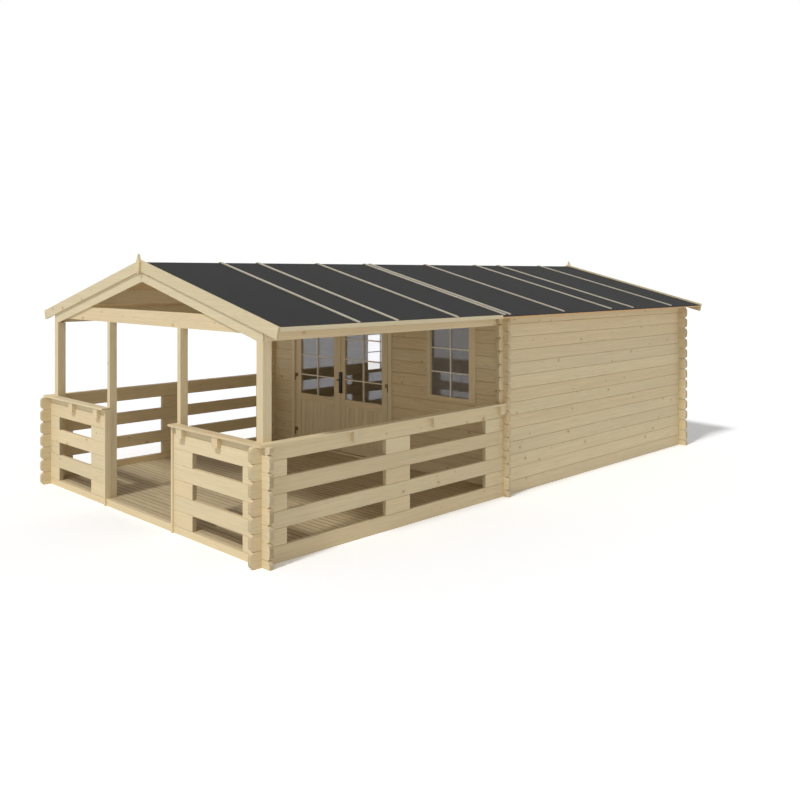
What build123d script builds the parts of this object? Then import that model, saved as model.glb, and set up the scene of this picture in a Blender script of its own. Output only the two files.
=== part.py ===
from build123d import *
import math
import os

os.makedirs("parts", exist_ok=True)

# Log garden cabin with a roofed veranda. Millimetres, +Z up, the front faces -Y.
# The origin is the middle of the footprint at ground level.

# Logs: one course is one log high, and a wall across starts half a course lower.
course = 145.0
log_t = 44.0
half_t = log_t / 2
tip = 130.0
cabin_tip = 95.0
tip_r = 46.0
groove = 5.0
side_courses = 14
rail_courses = 7
wall_top = side_courses * course

# Trim boards
trim_t = 18.0
barge_t = 22.0
finial_t = 22.0
mitre_gap = 0.5
spare = 20.0

# Plan, between the middles of the walls
half_w = 2050.0
porch_d = 3240.0
cabin_d = 4050.0
rear_over = 276.0
whole_d = tip + porch_d + cabin_d + rear_over + barge_t + finial_t
y_front = tip - whole_d / 2
y_cabin = y_front + porch_d
y_rear = y_cabin + cabin_d
x_in = half_w - half_t
x_out = half_w + half_t
reach = half_w + tip
cabin_reach = half_w + cabin_tip

# Roof
slope = 0.253
lift = math.sqrt(1 + slope**2)
roof_seat = 50.0
ridge_under = wall_top + slope * (half_w - roof_seat)
board_v = 19.0 * lift
felt_v = 3.0 * lift
felt_top = ridge_under + board_v + felt_v
eave_x = half_w + 199.0
trim_x = eave_x + trim_t
y_roof = y_front + barge_t
y_roof_end = y_rear + rear_over
barge_h = 106.0
barge_top = felt_top + 21.0
batten_w = 22.0
batten_v = 12.0 * lift
batten_xs = (10.0, eave_x - 37.0)
batten_ys = (957.0, 1446.0, 2305.0, 3075.0, 3165.0, 4188.0, 5223.0, 5757.0, 6778.0)
strip_over = 14.0
strip_end = y_cabin - 270.0
finial = ((0.0, 60.0), (32.0, -14.0), (24.0, -80.0), (0.0, -155.0), (-24.0, -80.0), (-32.0, -14.0))

# Beams under the roof, and the posts that carry them
eave_beam_h = 148.0
post_top = ridge_under - slope * x_in - eave_beam_h
post_w = 90.0
purlin_h = 145.0
purlin_x = x_in - 888.0
tie_low = post_top + 54.0
tie_top = tie_low + course
tie_x = x_in - log_t

# Railing round the veranda
rail_top = rail_courses * course - 8.0
rail_x = 687.0
end_board_t = 27.0
end_board_proud = 16.0
gap_x = (1010.0, x_in - 228.0)
side_gaps = ((241.0, 1423.0), (1748.0, porch_d - 326.0))
cap_t = 20.0
cap_over = 51.0
bracket_w = 92.0
bracket_d = 42.0
bracket_h = 100.0
bracket_r = 25.0
front_brackets = (841.0, x_in - 598.0)
last_bracket = porch_d - half_t - bracket_w / 2
side_brackets = (last_bracket - 2151.0, last_bracket - 1075.5, last_bracket)
inner_post = (55.0, 80.0)
inner_post_x = rail_x + 15.0

# Floors
floor_top = course / 2
floor_t = 26.0
bearer_w = 60.0
bearer_step = (x_in - 128.0) / 2

# Door: two leaves that open outward on pins in front of their faces
pin_x = (-1555.0, 265.0)
pin_out = 8.0
leaf_gap = 3.0
leaf_t = 40.0
meet = sum(pin_x) / 2
meet_gap = 3.5
jamb_w = 40.0
jamb_back = half_t + 22.0
stop_w = 14.0
stop_gap = 6.0
head_top = (side_courses - 0.5) * course
head_low = head_top - 24.0
sill_top = floor_top + 25.0
sill_proud = 10.0
leaf_low = sill_top + 7.5
leaf_top = head_low - 6.5
stile = 105.0
pane_low = leaf_low + 690.0
pane_top = leaf_top - 75.0
pane_t = 8.0
panel_low = leaf_low + 120.0
panel_top = pane_low - 90.0
panel_sink = 8.0
strip_w = 24.0
strip_t = 10.0
cover_w = 60.0
cover_t = 14.0
cover_lap = 14.0
cover_head = head_top - 12.0
knuckle_r = 7.0
knuckle_h = 50.0
knuckle_gap = 1.0
pin_r = 4.0
pin_play = 0.3
hinge_zs = (leaf_low + 160.0, (leaf_low + leaf_top) / 2, leaf_top - 160.0)
plate_t = 4.0
plate_w = 45.0
pin_plate_w = 13.0
handle_w = 54.0
handle_t = 10.0
handle_h = 276.0
handle_x = meet + meet_gap + strip_w + 5.0
handle_low = leaf_low + 768.0
lever_z = handle_low + 177.0
lever_r = 8.0
lever_out = 56.0
lever_len = 84.0
stem_r = 6.5
stem_len = lever_out - handle_t / 2

# Windows: one in the front wall, and one in the left wall that sits lower
window_x = x_in - 717.0
window_y = y_cabin + cabin_d / 2 + 83.0
hole_half = 335.0
hole_h = 882.0
hole_z = wall_top - 158.0 - hole_h / 2
side_hole_z = hole_z - 96.0
glass_half = hole_half - 38.0
glass_h = hole_h - 46.0
glass_shift = -18.0
casing_half = hole_half + 37.0
casing_h = hole_h + 30.0


def facing_front(y):
    """Upright plane across the building: local x is +X, local y is +Z, the normal is -Y."""
    return Plane(origin=(0, y, 0), x_dir=(1, 0, 0), z_dir=(0, -1, 0))


def facing_right(x):
    """Upright plane along the building: local x is +Y, local y is +Z, the normal is +X."""
    return Plane(origin=(x, 0, 0), x_dir=(0, 1, 0), z_dir=(1, 0, 0))


def under_roof(x):
    """Height of the underside of the roof boards."""
    return ridge_under - slope * abs(x)


def sloped(x0, x1, low, high):
    """Corners of a strip that follows the roof, low and high being its heights at the ridge line."""
    return [(x, z - slope * abs(x)) for x, z in ((x0, low), (x1, low), (x1, high), (x0, high))]


def both_sides(xs):
    """The same places on the left and on the right of the middle."""
    return [(side, side * x) for side in (-1, 1) for x in xs]


def finish(builder, name):
    """Labels a finished piece and writes its file."""
    builder.part.label = name
    export_step(builder.part, f"parts/{name}.step")


# Where the two sets of logs cross, each gives up a quarter of its height above and below.
across_joints = [(k + 0.5) * course for k in range(side_courses)]
along_joints = [k * course for k in range(side_courses + 1)]
corner_xs = (-half_w, half_w)

# V joints between courses, on both faces of a wall
groove_side = groove * math.sqrt(2)
grooves_across = [(face, z) for face in (-half_t, half_t) for z in across_joints]
grooves_along = [(face, z) for face in (-half_t, half_t) for z in along_joints[1:-1]]
rail_grooves_across = [(y_front + face, z) for face, z in grooves_across if z < rail_top]
rail_grooves_along = [(x + face, z) for x in corner_xs for face, z in grooves_along if z < rail_top]

# ---------------------------------------------------------------- front railing
front_rows = (("sill_front", (0,)), ("rails_front", (2, 4, 6, 7)), ("blocks_front", (1, 3, 5)))
for name, rows in front_rows:
    with BuildPart() as logs:
        with BuildSketch(facing_front(y_front + half_t)):
            with Locations(*[(0, k * course) for k in rows]):
                RectangleRounded(2 * reach, course, tip_r)
            with Locations((0, -course)):
                Rectangle(2 * reach, 2 * course, mode=Mode.SUBTRACT)
            with Locations((0, rail_top + course)):
                Rectangle(2 * reach, 2 * course, mode=Mode.SUBTRACT)
            if name != "sill_front":
                Rectangle(2 * rail_x, 3 * rail_top, mode=Mode.SUBTRACT)
            if name == "blocks_front":
                with Locations(*[(x, 0) for side, x in both_sides([sum(gap_x) / 2])]):
                    Rectangle(gap_x[1] - gap_x[0], 3 * rail_top, mode=Mode.SUBTRACT)
        extrude(amount=log_t)
        with Locations(*[(x, y_front, z) for x in corner_xs for z in across_joints]):
            Box(log_t, log_t, course / 2, mode=Mode.SUBTRACT)
        if name != "sill_front":
            with BuildSketch(facing_right(-reach)):
                with Locations(*rail_grooves_across):
                    Rectangle(groove_side, groove_side, rotation=45)
            extrude(amount=2 * reach, mode=Mode.SUBTRACT)
    finish(logs, name)

# ---------------------------------------------------------------- side railings
rail_start = y_front - tip
rail_end = y_cabin - cabin_tip
past_end = 2 * course
rail_mid = (rail_start + rail_end + past_end) / 2
for name, rows in (("rails_sides", (0, 2, 4, 6)), ("blocks_sides", (1, 3, 5))):
    with BuildPart() as logs:
        for x in (-x_out, x_in):
            with BuildSketch(facing_right(x)):
                with Locations(*[(rail_mid, (k + 0.5) * course) for k in rows]):
                    RectangleRounded(rail_end + past_end - rail_start, course, tip_r)
                with Locations((rail_end + past_end, 0)):
                    Rectangle(2 * past_end, 3 * rail_top, mode=Mode.SUBTRACT)
                with Locations((rail_mid, rail_top + course)):
                    Rectangle(2 * porch_d, 2 * course, mode=Mode.SUBTRACT)
                if name == "blocks_sides":
                    for start, end in side_gaps:
                        with Locations((y_front + (start + end) / 2, 0)):
                            Rectangle(end - start, 3 * rail_top, mode=Mode.SUBTRACT)
            extrude(amount=log_t)
        with Locations(*[(x, y_front, z) for x in corner_xs for z in along_joints]):
            Box(log_t, log_t, course / 2, mode=Mode.SUBTRACT)
        with BuildSketch(facing_front(y_cabin)):
            with Locations(*rail_grooves_along):
                Rectangle(groove_side, groove_side, rotation=45)
        extrude(amount=porch_d + tip, mode=Mode.SUBTRACT)
    finish(logs, name)

# ---------------------------------------------------------------- caps, brackets, boards at the way in
cap_x = x_out + cap_over
cap_y = y_front - half_t - cap_over
way_in_x = rail_x - end_board_t

with BuildPart() as cap_front:
    with BuildSketch(Plane.XY.offset(rail_top)):
        for s in (-1, 1):
            with BuildLine():
                Polyline(
                    (s * way_in_x, cap_y),
                    (s * cap_x, cap_y),
                    (s * x_in, y_front + half_t),
                    (s * way_in_x, y_front + half_t),
                    close=True,
                )
            make_face()
    extrude(amount=cap_t)
finish(cap_front, "cap_front")

with BuildPart() as caps_sides:
    with BuildSketch(Plane.XY.offset(rail_top)):
        for s in (-1, 1):
            with BuildLine():
                Polyline(
                    (s * cap_x, cap_y),
                    (s * cap_x, y_cabin - half_t),
                    (s * x_out, y_cabin - half_t),
                    (s * x_out, rail_end),
                    (s * x_in, rail_end),
                    (s * x_in, y_front + half_t),
                    close=True,
                )
            make_face()
    extrude(amount=cap_t)
finish(caps_sides, "caps_sides")

bracket_z = rail_top - bracket_h / 2
bracket_rows = [(facing_front(y_front - half_t), [x for side, x in both_sides(front_brackets)], 1)]
bracket_rows += [(facing_right(s * x_out), [y_front + y for y in side_brackets], s) for s in (-1, 1)]
with BuildPart() as cap_brackets:
    for rail_plane, alongs, out in bracket_rows:
        with BuildSketch(rail_plane):
            with Locations(*[(along, bracket_z + bracket_r) for along in alongs]):
                RectangleRounded(bracket_w, bracket_h + 2 * bracket_r, bracket_r)
            with Locations(*[(along, rail_top + course) for along in alongs]):
                Rectangle(2 * bracket_w, 2 * course, mode=Mode.SUBTRACT)
        extrude(amount=out * bracket_d)
finish(cap_brackets, "cap_brackets")

with BuildPart() as end_boards:
    depth = log_t + end_board_proud
    height = rail_top - floor_top
    centre = (y_front + half_t - depth / 2, floor_top + height / 2)
    lip = (y_front - half_t - end_board_proud / 2, floor_top / 2)
    for side, x in both_sides([rail_x - end_board_t / 2]):
        with Locations((x, *centre)):
            Box(end_board_t, depth, height)
        with Locations((x, *lip)):
            Box(end_board_t, end_board_proud, floor_top)
finish(end_boards, "end_boards")

# ---------------------------------------------------------------- posts and beams
y_post = y_front + half_t
corner_post_h = post_top - floor_top
with BuildPart() as corner_posts:
    centre = (y_post + post_w / 2, floor_top + corner_post_h / 2)
    with Locations(*[(x, *centre) for side, x in both_sides([x_in - post_w / 2])]):
        Box(post_w, post_w, corner_post_h)
finish(corner_posts, "corner_posts")

inner_post_h = tie_low - floor_top
with BuildPart() as inner_posts:
    centre = (y_post + inner_post[1] / 2, floor_top + inner_post_h / 2)
    with Locations(*[(x, *centre) for side, x in both_sides([inner_post_x])]):
        Box(*inner_post, inner_post_h)
finish(inner_posts, "inner_posts")

y_beams = y_roof + trim_t
tie_bend = (ridge_under - tie_top) / slope
with BuildPart() as tie_beam:
    with BuildSketch(facing_front(y_beams + log_t)):
        with BuildLine():
            Polyline(
                (-tie_x, tie_low),
                (tie_x, tie_low),
                (tie_x, under_roof(tie_x)),
                (tie_bend, tie_top),
                (-tie_bend, tie_top),
                (-tie_x, under_roof(tie_x)),
                close=True,
            )
        make_face()
    extrude(amount=log_t)
finish(tie_beam, "tie_beam")

with BuildPart() as eave_beams:
    with BuildSketch(facing_front(y_cabin - half_t)):
        for s in (-1, 1):
            with BuildLine():
                Polyline(
                    (s * tie_x, post_top),
                    (s * x_in, post_top),
                    (s * x_in, under_roof(x_in)),
                    (s * tie_x, under_roof(tie_x)),
                    close=True,
                )
            make_face()
    extrude(amount=y_cabin - half_t - y_beams)
finish(eave_beams, "eave_beams")

purlin_len = y_roof_end - trim_t - y_beams
with BuildPart() as ridge_purlin:
    with BuildSketch(facing_front(y_roof_end - trim_t)):
        with BuildLine():
            Polyline(
                (-half_t, ridge_under - purlin_h),
                (half_t, ridge_under - purlin_h),
                (half_t, under_roof(half_t)),
                (0, ridge_under),
                (-half_t, under_roof(half_t)),
                close=True,
            )
        make_face()
    extrude(amount=purlin_len)
finish(ridge_purlin, "ridge_purlin")

purlin_low = under_roof(purlin_x) - purlin_h
with BuildPart() as side_purlins:
    with BuildSketch(facing_front(y_roof_end - trim_t)):
        for s in (-1, 1):
            with BuildLine():
                Polyline(
                    (s * (purlin_x - half_t), purlin_low),
                    (s * (purlin_x + half_t), purlin_low),
                    (s * (purlin_x + half_t), under_roof(purlin_x + half_t)),
                    (s * (purlin_x - half_t), under_roof(purlin_x - half_t)),
                    close=True,
                )
            make_face()
    extrude(amount=purlin_len)
finish(side_purlins, "side_purlins")

# ---------------------------------------------------------------- log walls
wall_start = y_cabin - cabin_tip
wall_end = y_rear + tip
wall_len = wall_end - wall_start
wall_mid = (wall_start + wall_end) / 2

for side, name in ((1, "wall_right"), (-1, "wall_left")):
    with BuildPart() as wall:
        with BuildSketch(facing_right(side * half_w - half_t)):
            with Locations(*[(wall_mid, (k + 0.5) * course) for k in range(side_courses)]):
                RectangleRounded(wall_len, course, tip_r)
            with Locations((wall_start + cabin_tip / 2, rail_courses * course / 2)):
                Rectangle(cabin_tip, rail_courses * course)
            if side < 0:
                with Locations((window_y, side_hole_z)):
                    Rectangle(2 * hole_half, hole_h, mode=Mode.SUBTRACT)
        extrude(amount=log_t)
        with Locations(*[(side * half_w, y, z) for y in (y_cabin, y_rear) for z in along_joints]):
            Box(log_t, log_t, course / 2, mode=Mode.SUBTRACT)
        with BuildSketch(facing_front(wall_end)):
            with Locations(*[(side * half_w + face, z) for face, z in grooves_along]):
                Rectangle(groove_side, groove_side, rotation=45)
            with BuildLine():
                Polyline(
                    (side * (x_in - spare), under_roof(x_in - spare)),
                    (side * (x_out + spare), under_roof(x_out + spare)),
                    (side * (x_out + spare), ridge_under),
                    (side * (x_in - spare), ridge_under),
                    close=True,
                )
            make_face()
        extrude(amount=wall_len, mode=Mode.SUBTRACT)
    finish(wall, name)

door_x0 = pin_x[0] - leaf_gap - jamb_w
door_x1 = pin_x[1] + leaf_gap + jamb_w
door_mid = (door_x0 + door_x1) / 2

with BuildPart() as wall_front_sides:
    with BuildSketch(facing_front(y_cabin + half_t)):
        with Locations(*[(0, k * course) for k in range(side_courses)]):
            RectangleRounded(2 * cabin_reach, course, tip_r)
        with Locations((0, -course)):
            Rectangle(2 * cabin_reach, 2 * course, mode=Mode.SUBTRACT)
        with Locations((door_mid, ridge_under / 2)):
            Rectangle(door_x1 - door_x0, 2 * ridge_under, mode=Mode.SUBTRACT)
        with Locations((window_x, hole_z)):
            Rectangle(2 * hole_half, hole_h, mode=Mode.SUBTRACT)
    extrude(amount=log_t)
    with Locations(*[(x, y_cabin, z) for x in corner_xs for z in across_joints]):
        Box(log_t, log_t, course / 2, mode=Mode.SUBTRACT)
    with BuildSketch(facing_right(-cabin_reach)):
        with Locations(*[(y_cabin + face, z) for face, z in grooves_across if z < head_top - groove]):
            Rectangle(groove_side, groove_side, rotation=45)
    extrude(amount=2 * cabin_reach, mode=Mode.SUBTRACT)
finish(wall_front_sides, "wall_front_sides")

gable_rows = range(side_courses, int(ridge_under / course))
gable_joints = [(k + 0.5) * course for k in gable_rows]
gables = (
    ("gable_front", y_cabin, cabin_reach, range(side_courses, side_courses + 1), gable_joints),
    ("wall_rear", y_rear, reach, range(side_courses + 1), across_joints + gable_joints),
)
for name, y, wall_reach, rows, joints in gables:
    with BuildPart() as wall:
        with BuildSketch(facing_front(y + half_t)):
            with Locations(*[(0, k * course) for k in rows]):
                RectangleRounded(2 * wall_reach, course, tip_r)
            with BuildLine():
                Polyline(
                    (-x_in, head_top),
                    (x_in, head_top),
                    (x_in, under_roof(x_in)),
                    (0, ridge_under),
                    (-x_in, under_roof(x_in)),
                    close=True,
                )
            make_face()
            with Locations((0, -course)):
                Rectangle(2 * wall_reach, 2 * course, mode=Mode.SUBTRACT)
            for s in (-1, 1):
                with BuildLine():
                    Polyline(
                        (0, ridge_under),
                        (s * (wall_reach + spare), under_roof(wall_reach + spare)),
                        (s * (wall_reach + spare), ridge_under),
                        close=True,
                    )
                make_face(mode=Mode.SUBTRACT)
            with Locations((0, ridge_under)):
                Rectangle(log_t, 2 * purlin_h, mode=Mode.SUBTRACT)
            with Locations(*[(x, purlin_low + purlin_h) for side, x in both_sides([purlin_x])]):
                Rectangle(log_t, 2 * purlin_h, mode=Mode.SUBTRACT)
        extrude(amount=log_t)
        with Locations(*[(x, y, z) for x in corner_xs for z in across_joints]):
            Box(log_t, log_t, course / 2, mode=Mode.SUBTRACT)
        with BuildSketch(facing_right(-wall_reach)):
            with Locations(*[(y + face, z) for face in (-half_t, half_t) for z in joints]):
                Rectangle(groove_side, groove_side, rotation=45)
        extrude(amount=2 * wall_reach, mode=Mode.SUBTRACT)
    finish(wall, name)

# ---------------------------------------------------------------- floors
bearer_h = floor_top - floor_t
rooms = (
    ("veranda_floor", y_front + half_t, y_cabin - half_t),
    ("cabin_floor", y_cabin + half_t, y_rear - half_t),
)
for name, start, end in rooms:
    with BuildPart() as floor:
        with Locations((0, (start + end) / 2, floor_top - floor_t / 2)):
            Box(2 * x_in, end - start, floor_t)
    finish(floor, name)

with BuildPart() as floor_bearers:
    for name, start, end in rooms:
        with Locations(*[(k * bearer_step, (start + end) / 2, bearer_h / 2) for k in range(-2, 3)]):
            Box(bearer_w, end - start, bearer_h)
finish(floor_bearers, "floor_bearers")

# ---------------------------------------------------------------- roof
roof_len = y_roof_end - y_roof
for side, name in ((-1, "roof_boards_left"), (1, "roof_boards_right")):
    with BuildPart() as boards:
        with BuildSketch(facing_front(y_roof_end)):
            with BuildLine():
                Polyline(*sloped(0, side * eave_x, ridge_under, ridge_under + board_v), close=True)
            make_face()
        extrude(amount=roof_len)
    finish(boards, name)

with BuildPart() as roof_felt:
    with BuildSketch(facing_front(y_roof_end)):
        for side in (-1, 1):
            with BuildLine():
                Polyline(*sloped(0, side * eave_x, ridge_under + board_v, felt_top), close=True)
            make_face()
    extrude(amount=roof_len)
finish(roof_felt, "roof_felt")

with BuildPart() as roof_battens:
    for y in batten_ys:
        with BuildSketch(facing_front(y_front + y + batten_w / 2)):
            for side in (-1, 1):
                ends = [side * x for x in batten_xs]
                with BuildLine():
                    Polyline(*sloped(*ends, felt_top, felt_top + batten_v), close=True)
                make_face()
        extrude(amount=batten_w)
finish(roof_battens, "roof_battens")

strip_low = under_roof(eave_x)
strip_h = felt_top - slope * eave_x + strip_over - strip_low
with BuildPart() as eave_strips:
    centre = ((y_roof + strip_end) / 2, strip_low + strip_h / 2)
    with Locations(*[(x, *centre) for side, x in both_sides([eave_x + trim_t / 2])]):
        Box(trim_t, strip_end - y_roof, strip_h)
finish(eave_strips, "eave_strips")

cut_x = barge_h * slope / lift
cut_z = barge_h / lift
with BuildPart() as bargeboards:
    for y in (y_roof, y_roof_end + barge_t):
        with BuildSketch(facing_front(y)):
            for s in (-1, 1):
                with BuildLine():
                    Polyline(
                        (s * mitre_gap, barge_top),
                        (s * trim_x, barge_top - slope * trim_x),
                        (s * (trim_x - cut_x), barge_top - slope * trim_x - cut_z),
                        (s * mitre_gap, barge_top - barge_h * lift),
                        close=True,
                    )
                make_face()
        extrude(amount=barge_t)
finish(bargeboards, "bargeboards")

with BuildPart() as under_bargeboards:
    for y in (y_beams, y_roof_end):
        with BuildSketch(facing_front(y)):
            for s in (-1, 1):
                with BuildLine():
                    Polyline(
                        (s * mitre_gap, under_roof(mitre_gap)),
                        (s * x_in, under_roof(x_in)),
                        (s * x_in, post_top),
                        (s * (x_in - post_w), post_top),
                        (s * mitre_gap, post_top + slope * (x_in - post_w - mitre_gap)),
                        close=True,
                    )
                make_face()
        extrude(amount=trim_t)
finish(under_bargeboards, "under_bargeboards")

with BuildPart() as finials:
    for y in (y_front, y_roof_end + barge_t + finial_t):
        with BuildSketch(facing_front(y)):
            with BuildLine():
                Polyline(*[(x, barge_top + z) for x, z in finial], close=True)
            make_face()
        extrude(amount=finial_t)
finish(finials, "finials")

# ---------------------------------------------------------------- door
y_face = y_cabin - half_t
y_leaf_back = y_face + leaf_t
y_stop = y_leaf_back + stop_gap
y_jamb_back = y_cabin + jamb_back

with BuildPart() as door_jambs:
    with BuildSketch(Plane.XY.offset(sill_top)):
        for s, pin in zip((-1, 1), pin_x):
            inner = pin + s * leaf_gap
            with BuildLine():
                Polyline(
                    (inner, y_face),
                    (inner + s * jamb_w, y_face),
                    (inner + s * jamb_w, y_jamb_back),
                    (inner - s * stop_w, y_jamb_back),
                    (inner - s * stop_w, y_stop),
                    (inner, y_stop),
                    close=True,
                )
            make_face()
    extrude(amount=head_low - sill_top)
finish(door_jambs, "door_jambs")

with BuildPart() as door_head:
    with Locations((door_mid, (y_face + y_jamb_back) / 2, (head_low + head_top) / 2)):
        Box(door_x1 - door_x0, y_jamb_back - y_face, head_top - head_low)
finish(door_head, "door_head")

y_sill = y_face - sill_proud
with BuildPart() as door_sill:
    with Locations((door_mid, y_cabin, floor_top / 2)):
        Box(door_x1 - door_x0, log_t, floor_top)
    with Locations((door_mid, (y_sill + y_jamb_back) / 2, (floor_top + sill_top) / 2)):
        Box(door_x1 - door_x0, y_jamb_back - y_sill, sill_top - floor_top)
finish(door_sill, "door_sill")

cover_x0 = pin_x[0] - leaf_gap - cover_lap
cover_x1 = pin_x[1] + leaf_gap + cover_lap
with BuildPart() as door_covers:
    with BuildSketch(facing_front(y_face)):
        with Locations((door_mid, (sill_top + cover_head + cover_w) / 2)):
            Rectangle(cover_x1 - cover_x0 + 2 * cover_w, cover_head + cover_w - sill_top)
        with Locations((door_mid, (sill_top + cover_head) / 2)):
            Rectangle(cover_x1 - cover_x0, cover_head - sill_top, mode=Mode.SUBTRACT)
    extrude(amount=cover_t)
finish(door_covers, "door_covers")

y_pin = y_face - pin_out
y_plate = y_face - plate_t / 2
knuckle_off = (knuckle_h + knuckle_gap) / 2
for s, pin, side in ((-1, pin_x[0], "left"), (1, pin_x[1], "right")):
    outer = pin - s * leaf_gap
    inner = meet + s * meet_gap
    mid = (outer + inner) / 2
    width = abs(outer - inner)
    pane_w = width - 2 * stile
    with BuildPart() as leaf:
        with BuildSketch(facing_front(y_leaf_back)):
            with Locations((mid, (leaf_low + leaf_top) / 2)):
                Rectangle(width, leaf_top - leaf_low)
            with Locations((mid, (pane_low + pane_top) / 2)):
                Rectangle(pane_w, pane_top - pane_low, mode=Mode.SUBTRACT)
        extrude(amount=leaf_t)
        with Locations(*[(mid, y, (panel_low + panel_top) / 2) for y in (y_face, y_leaf_back)]):
            Box(pane_w, 2 * panel_sink, panel_top - panel_low, mode=Mode.SUBTRACT)
        if side == "right":
            with Locations((inner + strip_w / 2, y_face - strip_t / 2, (leaf_low + leaf_top) / 2)):
                Box(strip_w, strip_t, leaf_top - leaf_low)
    finish(leaf, f"door_leaf_{side}")
    with BuildPart() as pane:
        with Locations((mid, y_face + leaf_t / 2, (pane_low + pane_top) / 2)):
            Box(pane_w, pane_t, pane_top - pane_low)
    finish(pane, f"door_glass_{side}")
    with BuildPart() as straps:
        for z in hinge_zs:
            with Locations((pin, y_pin, z + knuckle_off)):
                Cylinder(knuckle_r, knuckle_h - knuckle_gap)
            with Locations((pin - s * (plate_w / 2 + 1), y_plate, z + knuckle_off)):
                Box(plate_w, plate_t, knuckle_h - knuckle_gap)
            with Locations((pin, y_pin, z + knuckle_off)):
                Cylinder(pin_r + pin_play, 2 * knuckle_h, mode=Mode.SUBTRACT)
    finish(straps, f"hinge_straps_{side}")

with BuildPart() as hinge_pins:
    for s, pin in zip((-1, 1), pin_x):
        for z in hinge_zs:
            with Locations((pin, y_pin, z - knuckle_off)):
                Cylinder(knuckle_r, knuckle_h - knuckle_gap)
            with Locations((pin, y_pin, z)):
                Cylinder(pin_r, 2 * (knuckle_h - knuckle_gap))
            with Locations((pin + s * (pin_plate_w / 2 + 2), y_plate, z - knuckle_off)):
                Box(pin_plate_w, plate_t, knuckle_h - knuckle_gap)
finish(hinge_pins, "hinge_pins")

with BuildPart() as door_handle:
    beside = handle_x + handle_w / 2 - meet - meet_gap - strip_w
    with Locations((handle_x + handle_w / 2 - beside / 2, y_face - strip_t / 2, handle_low + handle_h / 2)):
        Box(beside, strip_t, handle_h)
    for s, y in ((-1, y_face - strip_t), (1, y_leaf_back)):
        y_lever = y + s * lever_out
        with Locations((handle_x, y + s * handle_t / 2, handle_low + handle_h / 2)):
            Box(handle_w, handle_t, handle_h)
        with Locations(Location((handle_x, y_lever - s * stem_len / 2, lever_z), (90, 0, 0))):
            Cylinder(stem_r, stem_len)
        with Locations(Location((handle_x + lever_len / 2 - lever_r, y_lever, lever_z), (0, 90, 0))):
            Cylinder(lever_r, lever_len)
finish(door_handle, "door_handle")

# ---------------------------------------------------------------- windows
window_spots = (
    (facing_front(y_cabin), (window_x, hole_z), 1),
    (facing_right(-half_w), (window_y, side_hole_z), -1),
)
with BuildPart() as window_frames:
    for wall_plane, spot, out in window_spots:
        pane_spot = (spot[0] + glass_shift, spot[1])
        with BuildSketch(wall_plane.offset(-out * half_t)):
            with Locations(spot):
                Rectangle(2 * hole_half, hole_h)
            with Locations(pane_spot):
                Rectangle(2 * glass_half, glass_h, mode=Mode.SUBTRACT)
        extrude(amount=out * log_t)
        with BuildSketch(wall_plane.offset(out * half_t)):
            with Locations(spot):
                Rectangle(2 * casing_half, casing_h)
            with Locations(pane_spot):
                Rectangle(2 * glass_half, glass_h, mode=Mode.SUBTRACT)
        extrude(amount=out * cover_t)
finish(window_frames, "window_frames")

with BuildPart() as window_glass:
    for wall_plane, spot, out in window_spots:
        with BuildSketch(wall_plane.offset(-pane_t / 2)):
            with Locations((spot[0] + glass_shift, spot[1])):
                Rectangle(2 * glass_half, glass_h)
        extrude(amount=pane_t)
finish(window_glass, "window_glass")
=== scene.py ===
"""Looks for a log garden cabin: timber, felt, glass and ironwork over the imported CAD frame."""

import logging
import math
from collections.abc import Iterable, Sequence
from dataclasses import dataclass, field
from enum import Enum
from typing import ClassVar, TypeAlias

import bmesh
import bpy
from mathutils import Matrix, Vector


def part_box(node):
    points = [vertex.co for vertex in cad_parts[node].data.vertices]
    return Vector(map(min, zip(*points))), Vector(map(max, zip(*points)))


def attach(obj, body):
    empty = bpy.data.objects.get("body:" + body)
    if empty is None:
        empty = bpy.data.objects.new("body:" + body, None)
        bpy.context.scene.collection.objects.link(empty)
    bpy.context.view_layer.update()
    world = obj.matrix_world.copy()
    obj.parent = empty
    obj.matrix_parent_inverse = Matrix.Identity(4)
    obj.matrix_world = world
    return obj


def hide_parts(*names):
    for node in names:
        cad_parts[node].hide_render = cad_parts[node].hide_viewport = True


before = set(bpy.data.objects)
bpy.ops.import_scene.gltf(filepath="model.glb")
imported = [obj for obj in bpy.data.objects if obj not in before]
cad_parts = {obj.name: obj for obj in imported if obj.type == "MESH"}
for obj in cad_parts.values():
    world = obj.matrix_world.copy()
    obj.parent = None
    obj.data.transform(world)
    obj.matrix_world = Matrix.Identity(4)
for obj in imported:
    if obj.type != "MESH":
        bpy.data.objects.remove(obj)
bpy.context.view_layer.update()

LOG = logging.getLogger("garden_cabin")
Colour = tuple[float, float, float]
Socket = bpy.types.NodeSocket
Term: TypeAlias = "Signal | float"
Mesh = bmesh.types.BMesh
COURSE = 0.145
HALF_COURSE = COURSE / 2
EDGE = 0.0015
UNSPLIT = 4.6
WHITE = (1.0, 1.0, 1.0, 1.0)


class Run(Enum):
    """The way that the grain of a timber runs."""

    ACROSS = 0
    ALONG = 1
    UPRIGHT = 2


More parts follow.
